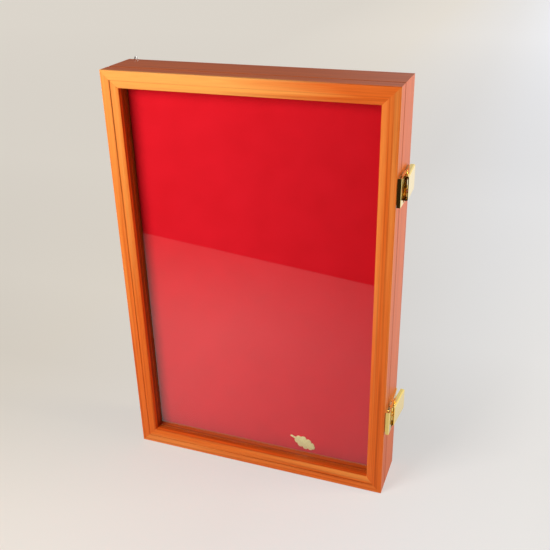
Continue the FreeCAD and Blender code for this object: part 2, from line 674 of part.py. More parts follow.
def make_claw(name, middle, rest):
    """The claw: a hooked plate with two arms that straddle the lever, drawn about its own pivot."""
    plate = doc.addObject("PartDesign::Body", name + "_claw_plate")
    section = sketch_on(plate, "XY_Plane", name + "_claw_section", "-claw_half")
    low, top = "claw_out - link_out", "claw_out - link_out + sheet"
    front, back = "claw_front - link_deep", "claw_back - link_deep"
    outline(section, [(low, front + " + sheet"), (low, back), (top, back),
                      (top, front + " + claw_turn", "-claw_turn"),
                      (top + " - claw_turn", front), ("claw_low - link_out", front),
                      ("claw_low - link_out", front + " + sheet")])
    pad(plate, section, "2 * claw_half")
    pieces = [plate]
    for arm in ("-claw_half", "claw_half - sheet"):
        pieces.append(block(top + " - arm_deep", back + " - arm_end", arm, "arm_deep",
                            "link_deep - claw_back + arm_end", "sheet"))
        pieces.append(rod("0", "0", arm, "arm_end", "sheet"))
    holes = [rod("0", "0", "-claw_half - 1", "rivet_bore", "2 * claw_half + 2")]
    claw = without(joined(pieces), holes)
    turn = "(%s * 1 deg)" % rest
    over_x, over_y = "(link_out - pivot_out)", "(link_deep - pivot_deep)"
    place(claw, "width / 2 + pivot_out + %s * cos%s + %s * sin%s" % (over_x, turn, over_y, turn),
          "pivot_deep + %s * cos%s - %s * sin%s" % (over_y, turn, over_x, turn), middle)
    keep(claw, name + "_latch_claw")


# The hangers on the back

def make_hanger(name, side, down):
    """A strap with a rolled loop, and the three-cornered wire ring that turns in it."""
    axis_z = "height - strap_top"
    axis_y = "depth + wire + strap_thick + wire_lift"
    roll, bore = "wire + wire_play + strap_thick", "wire + wire_play"
    left = "%sstrap_x - strap_wide / 2" % side
    strap = without(
        joined([block(left, "depth", axis_z + " - strap_long", "strap_wide", "strap_thick", "strap_long"),
                rod(left, axis_y, axis_z, roll, "strap_wide", RIGHT)]),
        [rod(left + " - 1", axis_y, axis_z, bore, "strap_wide + 2", RIGHT),
         rod("%sstrap_x" % side, "depth - 1", axis_z + " - strap_screw", "screw", "4", BACK),
         block(left + " - 1", "depth - 3", axis_z + " - 4", "strap_wide + 2", "3", "8")])
    keep(strap, name + "_hanger_strap")
    half, tall = value("ring_base / 2"), value("ring_tall")
    ring = doc.addObject("Part::Feature", name + "_ring")
    corner = [FreeCAD.Vector(half, 0, 0), FreeCAD.Vector(0, 0, tall), FreeCAD.Vector(-half, 0, 0)]
    ring.Shape = rounded_loop(corner, value("ring_turn"), value("wire"))
    spin = FreeCAD.Rotation(RIGHT, 180 if down else 0)
    ring.Placement = FreeCAD.Placement(FreeCAD.Vector(), spin)
    place(ring, "%sstrap_x" % side, axis_y, axis_z)
    keep(ring, name + "_hanger_ring")


def rounded_loop(corners, turn, radius):
    """A closed wire loop with rounded corners, swept with a round section."""
    edges = []
    ends = []
    for here, corner in enumerate(corners):
        before = (corners[here - 1] - corner).normalize()
        after = (corners[(here + 1) % len(corners)] - corner).normalize()
        half = before.getAngle(after) / 2
        step = turn / math.tan(half)
        middle = corner + (before + after).normalize() * (turn / math.sin(half) - turn)
        ends.append((corner + before * step, middle, corner + after * step))
    for here, (start, middle, end) in enumerate(ends):
        edges.append(Part.Arc(start, middle, end).toShape())
        following = ends[(here + 1) % len(ends)][0]
        edges.append(Part.LineSegment(end, following).toShape())
    section = Part.Wire([Part.Circle(ends[0][0], ends[0][0] - ends[-1][2], radius).toShape()])
    return Part.Wire(edges).makePipeShell([section], True, False)


def main():
    make_door_frame()
    make_glass()
    make_box_frame()
    make_back_and_pad()
    make_ornament()
    for name, middle in (("upper", "hinge_high"), ("lower", "hinge_low")):
        make_hinge(name, middle)
    for name, middle, rest in (("upper", "latch_high", "0"), ("lower", "latch_low", "low_rest")):
        make_keeper(name, middle)
        make_latch_base(name, middle)
        make_lever(name, middle, rest)
        make_claw(name, middle, rest)
    make_hanger("left", "-", False)
    make_hanger("right", "", True)
    make_screws()
    make_brads()
    doc.recompute()
    for item in doc.Objects:
        if "Invalid" in item.State or "Error" in item.State:
            raise RuntimeError("%s failed: %s" % (item.Name, item.State))
    os.makedirs("parts", exist_ok=True)
    for label, item in PARTS.items():
        if item.Shape.isNull() or not item.Shape.isValid():
            raise RuntimeError("%s has no valid shape" % label)
    for label, item in PARTS.items():
        item.Shape.exportStep("parts/%s.step" % label)
        solids = item.Shape.Solids
        box = item.Shape.BoundBox
        print("%-22s %2d solid  %9.1f mm3  x %.1f %.1f  y %.1f %.1f  z %.1f %.1f" % (
            label, len(solids), item.Shape.Volume, box.XMin, box.XMax, box.YMin, box.YMax, box.ZMin, box.ZMax))


main()
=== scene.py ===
"""Wall display case for folding knives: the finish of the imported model, its felt pad, its ornament and its setting.

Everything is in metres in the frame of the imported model: X to the viewer's right, Y away from the viewer, Z up, with
the origin in the middle of the case's bottom.
"""
import math

import bmesh
import bpy
from mathutils import Euler, Matrix, Vector, noise


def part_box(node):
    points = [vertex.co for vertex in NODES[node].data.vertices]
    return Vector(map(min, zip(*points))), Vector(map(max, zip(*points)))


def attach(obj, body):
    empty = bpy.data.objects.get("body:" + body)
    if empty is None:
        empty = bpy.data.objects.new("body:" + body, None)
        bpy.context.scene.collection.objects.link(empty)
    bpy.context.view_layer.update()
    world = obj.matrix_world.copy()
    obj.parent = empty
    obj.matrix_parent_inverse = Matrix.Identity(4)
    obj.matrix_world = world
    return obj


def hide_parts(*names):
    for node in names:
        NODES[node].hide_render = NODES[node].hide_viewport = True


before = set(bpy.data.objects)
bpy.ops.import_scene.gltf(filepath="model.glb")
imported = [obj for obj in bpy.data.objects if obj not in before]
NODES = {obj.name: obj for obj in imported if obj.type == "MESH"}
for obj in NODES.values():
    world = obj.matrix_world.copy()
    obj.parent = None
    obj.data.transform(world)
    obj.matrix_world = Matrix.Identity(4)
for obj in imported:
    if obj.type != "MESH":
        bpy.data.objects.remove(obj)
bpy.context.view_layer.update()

bl_info = {
    "name": "Knife display case",
    "version": (1, 0, 0),
    "blender": (4, 5, 0),
    "location": "View3D > Sidebar > Display Case",
    "description": "Finishes the packed display case and builds its felt pad, ornament and studio",
    "category": "Object",
}

MM = 0.001

SIDE_NAMES = ("bottom_rail", "top_rail", "left_stile", "right_stile")
BEAD_NAMES = ("bottom", "top", "left", "right")
LEVELS = ("upper", "lower")


# Small tools

def linear(code):
    """The linear colour of an sRGB hex code such as D2691E."""
    channels = [int(code[i:i + 2], 16) / 255 for i in (0, 2, 4)]
    return tuple(c / 12.92 if c <= 0.04045 else ((c + 0.055) / 1.055) ** 2.4 for c in channels) + (1.0,)


def add_node(tree, kind, links=(), **settings):
    """A node with its settings. links are (source socket, input name or number); a setting that names an input sets
    that input, any other sets the node's own property."""
    item = tree.nodes.new(kind)
    for key, value in settings.items():
        if hasattr(item, key):
            setattr(item, key, value)
    for key, value in settings.items():
        if not hasattr(item, key):
            item.inputs[key.replace("_", " ")].default_value = value
    for source, target in links:
        tree.links.new(source, item.inputs[target])
    return item


def shade_over(tree, stops, factor, interpolation="LINEAR"):
    """A colour ramp over a factor. stops are (position, colour)."""
    ramp = add_node(tree, "ShaderNodeValToRGB", [(factor, "Fac")])
    band = ramp.color_ramp
    band.interpolation = interpolation
    band.elements[0].position, band.elements[0].color = stops[0]
    band.elements[1].position, band.elements[1].color = stops[-1]
    for position, colour in stops[1:-1]:
        band.elements.new(position).color = colour
    return ramp.outputs["Color"]


def mixed(tree, factor, first, second, blend="MIX"):
    """Two colours mixed by a factor."""
    item = add_node(tree, "ShaderNodeMix", data_type="RGBA", blend_type=blend)
    for socket, source in ((item.inputs[0], factor), (item.inputs[6], first), (item.inputs[7], second)):
        if isinstance(source, (int, float, tuple)):
            socket.default_value = source
        else:
            tree.links.new(source, socket)
    return item.outputs[2]


def reckon(tree, operation, *terms):
    """One step of arithmetic on sockets or numbers."""
    item = add_node(tree, "ShaderNodeMath", operation=operation)
    for socket, term in zip(item.inputs, terms):
        if isinstance(term, (int, float)):
            socket.default_value = term
        else:
            tree.links.new(term, socket)
    return item.outputs[0]


def grains(tree, size_mm, along=None, stretch=1.0, detail=2.0, roughness=0.5, seed=0.0):
    """Noise with a real size in mm, drawn out along an axis of the model's frame."""
    place = add_node(tree, "ShaderNodeTexCoord").outputs["Object"]
    pitch = 1 / (size_mm * MM)
    scale = [pitch / stretch if axis == along else pitch for axis in "XYZ"]
    spot = add_node(tree, "ShaderNodeMapping", [(place, "Vector")], Scale=scale, Location=(seed, seed * 1.7, seed * 0.6))
    return add_node(tree, "ShaderNodeTexNoise", [(spot.outputs["Vector"], "Vector")],
                    Scale=1.0, Detail=detail, Roughness=roughness).outputs["Fac"]


def new_material(name):
    """An empty material with its node tree, its shader and its output joined."""
    material = bpy.data.materials.new(name)
    material.use_nodes = True
    tree = material.node_tree
    tree.nodes.clear()
    shader = add_node(tree, "ShaderNodeBsdfPrincipled")
    out = add_node(tree, "ShaderNodeOutputMaterial", [(shader.outputs["BSDF"], "Surface")])
    return material, tree, shader, out


def roughen(tree, shader, height, distance_mm, strength=1.0):
    """Bump from a height between 0 and 1, with its real depth in mm."""
    bump = add_node(tree, "ShaderNodeBump", [(height, "Height")], Strength=strength, Distance=distance_mm * MM)
    tree.links.new(bump.outputs["Normal"], shader.inputs["Normal"])


def finish_node(name, material, ease_mm=0.0, segments=2):
    """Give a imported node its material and, where it has sharp edges, a small bevel."""
    item = NODES[name]
    item.data.materials.clear()
    item.data.materials.append(material)
    if ease_mm:
        bevel = item.modifiers.new("eased_edges", "BEVEL")
        bevel.width = ease_mm * MM
        bevel.segments = segments
        bevel.limit_method = "ANGLE"
        bevel.angle_limit = math.radians(35)
        bevel.use_clamp_overlap = True
    return item


def new_piece(name, mesh, body, material):
    """An object from a mesh, riding on a body and wearing a material."""
    item = bpy.data.objects.new(name, mesh)
    bpy.context.scene.collection.objects.link(item)
    item.data.materials.append(material)
    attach(item, body)
    return item


def smooth(mesh, angle=30):
    """Shade smooth over shallow edges."""
    mesh.polygons.foreach_set("use_smooth", [True] * len(mesh.polygons))
    mesh.set_sharp_from_angle(angle=math.radians(angle))
    mesh.update()


def sizes():
    """The sizes that a user can change."""
    return bpy.context.scene.case_sizes


def colours():
    """The colours that a user can change."""
    return bpy.context.scene.case_colours


def colour_of(value):
    """A colour property as four numbers."""
    return (value[0], value[1], value[2], 1.0)


# Finishes

def rise(tree, source, start, end):
    """A factor that goes from 0 to 1 while a value goes from start to end."""
    return add_node(tree, "ShaderNodeMapRange", [(source, "Value")], From_Min=start, From_Max=end).outputs["Result"]


def painted_recess_shade(tree, split, inner):
    """Painted shade: where the wood is painted darker because shade falls there: in the moulding's quirk, most of all
    high on the left, along the glass, in the seam, and on a wall's inner face. inner is how dark the painted shade on
    that face is."""
    half, tall, seam = 0.15, 0.452, -0.012
    across = reckon(tree, "SUBTRACT", half, reckon(tree, "ABSOLUTE", split.outputs["X"]))
    upward = reckon(tree, "MINIMUM", split.outputs["Z"], reckon(tree, "SUBTRACT", tall, split.outputs["Z"]))
    inset = reckon(tree, "MINIMUM", across, upward)
    deep = split.outputs["Y"]
    off_quirk = reckon(tree, "ABSOLUTE", reckon(tree, "SUBTRACT", inset, 9.9 * MM))
    quirk = reckon(tree, "MULTIPLY", rise(tree, off_quirk, 0.8 * MM, 0.3 * MM), rise(tree, deep, -27 * MM, -28 * MM))
    high_left = reckon(tree, "MULTIPLY", rise(tree, split.outputs["Z"], 0.28, 0.4),
                       rise(tree, split.outputs["X"], -0.138, -0.1395))
    quirk = reckon(tree, "MULTIPLY", quirk, reckon(tree, "MULTIPLY_ADD", high_left, 0.4, 0.15))
    glass = reckon(tree, "MULTIPLY", rise(tree, deep, -23 * MM, -21 * MM), rise(tree, inset, 16.5 * MM, 17.2 * MM))
    joint = rise(tree, reckon(tree, "ABSOLUTE", reckon(tree, "SUBTRACT", deep, seam)), 1.3 * MM, 0.6 * MM)
    inside = reckon(tree, "MULTIPLY", rise(tree, deep, -13 * MM, -12 * MM), rise(tree, inset, 12.5 * MM, 13.5 * MM))
    first = reckon(tree, "MAXIMUM", quirk, reckon(tree, "MULTIPLY", glass, max(inner, 0.35)))
    second = reckon(tree, "MAXIMUM", reckon(tree, "MULTIPLY", joint, 0.45), reckon(tree, "MULTIPLY", inside, inner))
    return reckon(tree, "MAXIMUM", first, second)


def lacquered_pine(name, along, seed, paler=(0.0, 0.0, 1.0), inner=0.15):
    """Pine, planed and sanded, orange stain, thin satin lacquer: straight grain with fine darker and paler lines.
    paler gives how much paler the wood is at the member's low end and at its high end, and the member's middle in m:
    partly sapwood, partly painted light where a member looks brighter under the lamps.
    inner is how dark the painted shade lies on the faces that look into the case."""
    material, tree, shader, _ = new_material(name)
    tint = colours()
    pale, middle, dark = (colour_of(c) for c in (tint.pine_pale, tint.pine, tint.pine_dark))
    # Growth lines about 2.4 mm apart, wandering slowly along the stick.
    lines = grains(tree, sizes().ring_spacing / MM, along, stretch=90, detail=3.0, roughness=0.55, seed=seed)
    body = shade_over(tree, [(0.32, dark), (0.5, middle), (1.0, middle)], lines)
    # Sapwood takes the stain paler in broad streaks about 9 mm across; the paleness that rises towards one end of some
    # sticks is partly sapwood and partly painted light.
    streaks = grains(tree, 6.0, along, stretch=45, detail=2.0, seed=seed + 3)
    place = add_node(tree, "ShaderNodeTexCoord").outputs["Object"]
    split = add_node(tree, "ShaderNodeSeparateXYZ", [(place, "Vector")])
    run = split.outputs[along]
    start, end, centre = paler
    # Painted light: the slope from one end of the member to the other.
    slope = reckon(tree, "MULTIPLY_ADD", reckon(tree, "SUBTRACT", run, centre), (end - start) / 0.3,
                   (start + end) / 2)
    amount = reckon(tree, "ADD", slope, reckon(tree, "MULTIPLY_ADD", streaks, 1.5, -0.72))
    sapwood_and_light = shade_over(tree, [(0.0, (0, 0, 0, 1)), (1.0, (1, 1, 1, 1))], amount)
    front = rise(tree, split.outputs["Y"], -26 * MM, -27.5 * MM)
    body = mixed(tree, reckon(tree, "MULTIPLY", sapwood_and_light, front), body, mixed(tree, 0.25, pale, body))
    # Fibres 0.5 mm wide, a little coarser than the real ones so that they show.
    fibre = grains(tree, 0.5, along, stretch=60, detail=2.0, seed=seed + 7)
    shadow = shade_over(tree, [(0.25, (0.9, 0.84, 0.8, 1.0)), (0.6, (1.0, 1.0, 1.0, 1.0))], fibre)
    body = mixed(tree, 1.0, body, shadow, "MULTIPLY")
    # Painted shade: dark brown laid where shade falls, in the quirk, along the glass, in the seam and on the inner
    # faces.
    body = mixed(tree, reckon(tree, "MULTIPLY", painted_recess_shade(tree, split, inner), 0.85), body, linear("4A1208"))
    tree.links.new(body, shader.inputs["Base Color"])
    shader.inputs["Roughness"].default_value = 0.36
    shader.inputs["IOR"].default_value = 1.45
    shader.inputs["Specular IOR Level"].default_value = 0.2
    roughen(tree, shader, mixed(tree, 0.5, lines, fibre), 0.03, 0.5)
    return material


def wool_felt():
    """Pressed wool felt, red: matt and even, with a very faint clouding and a fine fuzz."""
    material, tree, shader, _ = new_material("wool_felt")
    deep, bright = colour_of(colours().felt_dark), colour_of(colours().felt)
    cloud = grains(tree, 30.0, detail=2.0, seed=2.0)
    fuzz = grains(tree, 0.5, detail=2.0, roughness=0.6, seed=5.0)
    body = shade_over(tree, [(0.3, deep), (0.7, bright)], mixed(tree, 0.4, cloud, fuzz))
    # Painted shade: the felt is darkened towards its right side, standing in for the lamp's light falling off across
    # it.
    place = add_node(tree, "ShaderNodeTexCoord").outputs["Object"]
    across = add_node(tree, "ShaderNodeSeparateXYZ", [(place, "Vector")]).outputs["X"]
    body = mixed(tree, rise(tree, across, -0.05, 0.14), body, mixed(tree, 1.0, body, (0.84, 0.7, 0.75, 1), "MULTIPLY"))
    tree.links.new(body, shader.inputs["Base Color"])
    shader.inputs["Roughness"].default_value = 0.95
    shader.inputs["IOR"].default_value = 1.45
    shader.inputs["Specular IOR Level"].default_value = 0.12
    roughen(tree, shader, fuzz, 0.06, 0.2)
    return material


def float_glass():
    """Float glass, cut and seamed: clear with a breath of green, mirror-smooth faces."""
    material, tree, shader, out = new_material("float_glass")
    shader.inputs["Base Color"].default_value = linear("FCFEFD")
    shader.inputs["Roughness"].default_value = 0.0
    shader.inputs["IOR"].default_value = 1.5
    shader.inputs["Transmission Weight"].default_value = 1.0
    # Seen directly the pane doesn't bend the view: each crossing mirrors as both faces together do, and light passes.
    path = add_node(tree, "ShaderNodeLightPath")
    clear = add_node(tree, "ShaderNodeBsdfTransparent", Color=linear("FAFDFB"))
    mirror = add_node(tree, "ShaderNodeBsdfGlossy", Roughness=0.0)
    fresnel = add_node(tree, "ShaderNodeFresnel", IOR=1.5).outputs[0]
    entering = reckon(tree, "SUBTRACT", 1.0, add_node(tree, "ShaderNodeNewGeometry").outputs["Backfacing"])
    lit = reckon(tree, "MAXIMUM", path.outputs["Is Camera Ray"], path.outputs["Is Glossy Ray"])
    share = reckon(tree, "MULTIPLY", reckon(tree, "MULTIPLY", fresnel, 2.0), reckon(tree, "MULTIPLY", entering, lit))
    plain = add_node(tree, "ShaderNodeMixShader", [(share, 0), (clear.outputs["BSDF"], 1), (mirror.outputs["BSDF"], 2)])
    straight = reckon(tree, "SUBTRACT", 1.0, path.outputs["Is Transmission Ray"])
    both = add_node(tree, "ShaderNodeMixShader",
                    [(straight, 0), (shader.outputs["BSDF"], 1), (plain.outputs["Shader"], 2)])
    tree.links.new(both.outputs["Shader"], out.inputs["Surface"])
    return material


def polished_brass(name, tone, roughness, grit_mm, metal=1.0):
    """Brass, pressed or cast, and polished: warm mirror with a soft haze and faint handling marks. Below 1, metal
    gives it the chalky glow of a matt lacquer."""
    material, tree, shader, _ = new_material(name)
    marks = grains(tree, grit_mm, detail=3.0, roughness=0.6, seed=1.5)
    body = shade_over(tree, [(0.3, tuple(0.95 * c for c in tone[:3]) + (1.0,)), (0.6, tone)], marks)
    tree.links.new(body, shader.inputs["Base Color"])
    shader.inputs["Metallic"].default_value = metal
    haze = reckon(tree, "MULTIPLY_ADD", marks, 0.06, roughness - 0.03)
    tree.links.new(haze, shader.inputs["Roughness"])
    roughen(tree, shader, marks, 0.01, 0.2)
    return material


def zinc_plate():
    """Steel, stamped and zinc-plated: cool grey metal with a cloudy, half-bright surface."""
    material, tree, shader, _ = new_material("zinc_plate")
    cloud = grains(tree, 1.6, detail=3.0, seed=4.0)
    body = shade_over(tree, [(0.3, linear("9A9C9E")), (0.7, linear("CFD0CE"))], cloud)
    tree.links.new(body, shader.inputs["Base Color"])
    shader.inputs["Metallic"].default_value = 1.0
    tree.links.new(reckon(tree, "MULTIPLY_ADD", cloud, 0.2, 0.22), shader.inputs["Roughness"])
    return material


def pressed_hardboard():
    """Hardboard, hot-pressed: dark brown, smooth, with short pale fibres in every direction."""
    material, tree, shader, _ = new_material("pressed_hardboard")
    flecks = grains(tree, 1.1, detail=4.0, roughness=0.7, seed=6.0)
    cloud = grains(tree, 30.0, detail=2.0, seed=8.0)
    body = shade_over(tree, [(0.3, linear("5A3A22")), (0.55, linear("7A5534")), (0.75, linear("A27C52"))], flecks)
    body = mixed(tree, reckon(tree, "MULTIPLY", cloud, 0.4), body, linear("6A472B"))
    tree.links.new(body, shader.inputs["Base Color"])
    shader.inputs["Roughness"].default_value = 0.55
    roughen(tree, shader, flecks, 0.06, 0.6)
    return material


def open_foam():
    """Polyurethane foam, cut: cream, matt, with open cells about 0.8 mm wide."""
    material, tree, shader, _ = new_material("open_foam")
    cells = grains(tree, 0.8, detail=1.0, roughness=0.8, seed=9.0)
    body = shade_over(tree, [(0.35, linear("B8AD8A")), (0.6, linear("E4DCC0"))], cells)
    tree.links.new(body, shader.inputs["Base Color"])
    shader.inputs["Roughness"].default_value = 0.95
    roughen(tree, shader, cells, 0.5, 0.8)
    return material


# The wooden parts

def grain_way(part):
    """The axis that a frame member's grain runs along."""
    return "X" if part.endswith("rail") or part in ("bottom", "top") else "Z"


# How pale each door member is painted at its low or left end and at its other end, and its middle in metres: partly
# sapwood, partly painted light where the member looks brighter under the lamps.
DOOR_SAPWOOD_AND_PAINTED_LIGHT = {
    "bottom_rail": (0.05, 0.3, 0.0), "top_rail": (1.8, -1.0, 0.05), "left_stile": (-0.2, 0.45, 0.24),
    "right_stile": (0.1, 0.25, 0.23),
}
# Painted shade on the inner face that looks away from the key lamp: how dark it is painted.
INSIDE_PAINTED_SHADE = {"left_stile": 0.75}


class CASE_OT_door_frame(bpy.types.Operator):
    """Finish the moulded door frame and the beads behind its glass"""
    bl_idname = "display_case.door_frame"
    bl_label = "Door Frame"

    def execute(self, context):
        for number, side in enumerate(SIDE_NAMES):
            wood = lacquered_pine("stained_pine_door_" + side, grain_way(side), 1.0 + 5 * number, DOOR_SAPWOOD_AND_PAINTED_LIGHT[side],
                                  inner=INSIDE_PAINTED_SHADE.get(side, 0.15))
            finish_node("door_" + side, wood, 0.25)
        for number, side in enumerate(BEAD_NAMES):
            wood = lacquered_pine("stained_pine_bead_" + side, grain_way(side), 31.0 + 5 * number)
            finish_node("glass_bead_" + side, wood, 0.2)
        return {"FINISHED"}


class CASE_OT_box_frame(bpy.types.Operator):
    """Finish the four walls of the box"""
    bl_idname = "display_case.box_frame"
    bl_label = "Box"

    def execute(self, context):
        for number, side in enumerate(SIDE_NAMES):
            wood = lacquered_pine("stained_pine_box_" + side, grain_way(side), 61.0 + 5 * number,
                                  inner=INSIDE_PAINTED_SHADE.get(side, 0.15))
            finish_node("box_" + side, wood, 0.25)
        return {"FINISHED"}


class CASE_OT_glass(bpy.types.Operator):
    """Finish the pane"""
    bl_idname = "display_case.glass"
    bl_label = "Glass"

    def execute(self, context):
        finish_node("glass_pane", float_glass())
        return {"FINISHED"}


# The pad

def pad_height(u, v, half_wide, half_tall, roll):
    """How far the felt face stands back at a point: rolled at its edges, faintly uneven within."""
    edge = min(half_wide - abs(u), half_tall - abs(v))
    back = 0.0
    if edge < roll:
        back = roll - math.sqrt(max(roll ** 2 - (roll - edge) ** 2, 0.0))
    wave = noise.noise(Vector((u * 9, v * 9, 0.3))) * 0.5 + noise.noise(Vector((u * 28, v * 28, 1.7))) * 0.2
    return back - sizes().felt_wave * wave * min(1.0, edge / (4 * roll))


def felt_mesh(low, high):
    """One sheet drawn over the foam: a face with rolled edges and four sides that turn back along the walls."""
    roll = sizes().felt_roll
    middle = (low + high) / 2
    half_wide, half_tall = (high.x - low.x) / 2, (high.z - low.z) / 2
    step = 4 * MM
    inner_u = [half_wide * t for t in spread_ticks(half_wide, step, roll)]
    inner_v = [half_tall * t for t in spread_ticks(half_tall, step, roll)]
    mesh = bpy.data.meshes.new("felt")
    build = bmesh.new()
    grid = [[build.verts.new((middle.x + u, low.y + pad_height(u, v, half_wide, half_tall, roll), middle.z + v))
             for u in inner_u] for v in inner_v]
    for row, above in zip(grid, grid[1:]):
        for here in range(len(row) - 1):
            build.faces.new((row[here], row[here + 1], above[here + 1], above[here]))
    rim = grid[0][:] + [row[-1] for row in grid[1:]] + grid[-1][-2::-1] + [row[0] for row in grid[-2:0:-1]]
    for deep in (low.y + 0.35 * (high.y - low.y), high.y):
        ring = [build.verts.new((v.co.x, deep, v.co.z)) for v in rim]
        for here in range(len(rim)):
            after = (here + 1) % len(rim)
            build.faces.new((rim[here], ring[here], ring[after], rim[after]))
        rim = ring
    build.normal_update()
    build.to_mesh(mesh)
    build.free()
    return mesh


def spread_ticks(half, step, roll):
    """Places from -1 to 1 across a face, close together within the rolled edge."""
    flat = max(2, round(2 * (half - roll) / step))
    inside = [(half - roll) * (2 * tick / flat - 1) / half for tick in range(flat + 1)]
    curve = [1 - roll / half * (1 - math.sin(math.radians(angle))) for angle in (20, 40, 60, 75, 90)]
    return [-c for c in reversed(curve)] + inside + curve


class CASE_OT_felt_pad(bpy.types.Operator):
    """Build the foam pad and the red felt drawn over it"""
    bl_idname = "display_case.felt_pad"
    bl_label = "Felt Pad"

    def execute(self, context):
        low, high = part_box("felt_cover")
        thick = sizes().felt_thickness
        felt = new_piece("felt", felt_mesh(Vector(low), Vector(high)), "case", wool_felt())
        body = felt.modifiers.new("thickness", "SOLIDIFY")
        body.thickness = thick
        body.offset = -1.0
        smooth(felt.data, 50)
        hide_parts("felt_cover")
        foam = new_piece("foam", foam_mesh(), "case", open_foam())
        smooth(foam.data, 40)
        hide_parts("foam_pad")
        return {"FINISHED"}


def foam_mesh():
    """A cut block of foam with soft edges, a little swollen between them."""
    low, high = (Vector(corner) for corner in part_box("foam_pad"))
    slack = 0.6 * MM
    low, high = low + Vector((slack, 2 * slack, slack)), high - Vector((slack, slack, slack))
    build = bmesh.new()
    bmesh.ops.create_cube(build, size=1.0)
    bmesh.ops.subdivide_edges(build, edges=build.edges[:], cuts=7, use_grid_fill=True)
    for vert in build.verts:
        rim = max(0.0, 1 - max(abs(2 * vert.co.x), abs(2 * vert.co.z)) ** 6)
        spot = [low[i] + (vert.co[i] + 0.5) * (high[i] - low[i]) for i in range(3)]
        if vert.co.y < 0:
            spot[1] += (1 - rim) * 1.5 * MM
        vert.co = spot
    mesh = bpy.data.meshes.new("foam")
    build.to_mesh(mesh)
    build.free()
    return mesh


# The ornament

LEAF_LOBES = [
    (-17, -0.9, 0), (-10.5, -1.3, 3.6), (-5.4, -5, 3.7), (1.6, -5.6, 3.6), (8.3, -4.4, 2.9), (13.2, -2.6, 2.8),
    (13.2, 2.6, 2.9), (8.3, 4.4, 3.6), (1.6, 5.6, 3.7), (-5.4, 5, 3.6), (-10.5, 1.3, 0), (-17, 0.9, 0),
]
LEAF_TILT = -24
LEAF_PLACE = (0.0515, 0.029)


def leaf_outline():
    """The leaf's edge: straight stalk and round lobes, in mm, counter-clockwise."""
    points = []
    for here, (x, y, radius) in enumerate(LEAF_LOBES):
        start, end = Vector((x, y)), Vector(LEAF_LOBES[(here + 1) % len(LEAF_LOBES)][:2])
        if not radius:
            points += [start.lerp(end, t / 4) for t in range(4)]
            continue
        half = (end - start) / 2
        centre = start + half + Vector((-half.y, half.x)).normalized() * math.sqrt(radius ** 2 - half.length_squared)
        first = math.atan2(*(start - centre).yx)
        swing = (math.atan2(*(end - centre).yx) - first) % (2 * math.pi)
        points += [centre + radius * Vector((math.cos(first + swing * t / 8), math.sin(first + swing * t / 8)))
                   for t in range(8)]
    return points


def leaf_rise(spot, edge, thick):
    """Height of the leaf's face: domed lobes, a raised midrib and side veins that run out to the lobes."""
    if spot.x < -11:
        return thick * (0.55 + 0.2 * (1 - (abs(spot.y) / 1.0) ** 2))
    dome = thick * (0.4 + 0.25 * (1 - math.exp(-edge / 1.6)))
    rib = 0.45 * math.exp(-(spot.y / 0.6) ** 2)
    veins = 0.0
    for root in (-9.5, -4.5, 2.0, 8.0):
        along = spot.x - root - 0.62 * abs(spot.y)
        veins = max(veins, 0.35 * math.exp(-(along / 0.55) ** 2) * min(1.0, edge / 1.2))
    return min(thick, dome + max(rib, veins))


def leaf_mesh(thick):
    """The leaf as a closed casting: a flat back and a modelled face, drawn in mm with the face along +Z."""
    edge_points = leaf_outline()
    build = bmesh.new()
    ring = [build.verts.new((p.x, p.y, 0)) for p in edge_points]
    face = build.faces.new(ring)
    bmesh.ops.triangulate(build, faces=[face])
    for _ in range(3):
        inside = [e for e in build.edges if e.calc_length() > 0.8]
        bmesh.ops.subdivide_edges(build, edges=inside, cuts=1)
        bmesh.ops.triangulate(build, faces=build.faces[:])
        bmesh.ops.beautify_fill(build, faces=build.faces[:], edges=[e for e in build.edges if not e.is_boundary])
    top = build.faces[:]
    extruded = bmesh.ops.extrude_face_region(build, geom=top)
    upper = [v for v in extruded["geom"] if isinstance(v, bmesh.types.BMVert)]
    segments = list(zip(edge_points, edge_points[1:] + edge_points[:1]))
    for vert in upper:
        spot = vert.co.xy
        edge = min((spot - nearest(spot, a, b)).length for a, b in segments)
        vert.co.z = leaf_rise(spot, edge, thick)
    bmesh.ops.recalc_face_normals(build, faces=build.faces[:])
    mesh = bpy.data.meshes.new("oak_leaf")
    build.to_mesh(mesh)
    build.free()
    return mesh


def nearest(spot, start, end):
    """The point of a segment nearest to a spot."""
    run = end - start
    share = max(0.0, min(1.0, (spot - start).dot(run) / run.length_squared))
    return start + run * share


class CASE_OT_ornament(bpy.types.Operator):
    """Build the cast leaf that lies on the felt"""
    bl_idname = "display_case.ornament"
    bl_label = "Leaf Ornament"

    def execute(self, context):
        low, high = (Vector(corner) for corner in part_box("leaf_ornament"))
        mesh = leaf_mesh((high.y - low.y) / MM)
        stand = Matrix.Translation(Vector((LEAF_PLACE[0], high.y, LEAF_PLACE[1]))) @ Euler((math.pi / 2, 0, 0)).to_matrix().to_4x4()
        mesh.transform(stand @ Matrix.Rotation(math.radians(LEAF_TILT), 4, "Z") @ Matrix.Scale(MM, 4))
        smooth(mesh, 50)
        leaf = new_piece("oak_leaf", mesh, "case",
                         polished_brass("cast_brass", colour_of(colours().cast_brass), 0.4, 1.2, 0.12))
        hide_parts("leaf_ornament")
        return {"FINISHED"}


# Fittings

class CASE_OT_hinges(bpy.types.Operator):
    """Finish the two brass butt hinges and their screws"""
    bl_idname = "display_case.hinges"
    bl_label = "Hinges"

    def execute(self, context):
        brass = polished_brass("hinge_brass", colour_of(colours().brass), 0.2, 2.0)
        for level in LEVELS:
            for part in ("leaf_door", "leaf_box", "pin"):
                finish_node("%s_hinge_%s" % (level, part), brass, 0.12)
        for leaf in ("door", "box"):
            finish_node("hinge_screws_" + leaf, brass, 0.06)
        return {"FINISHED"}


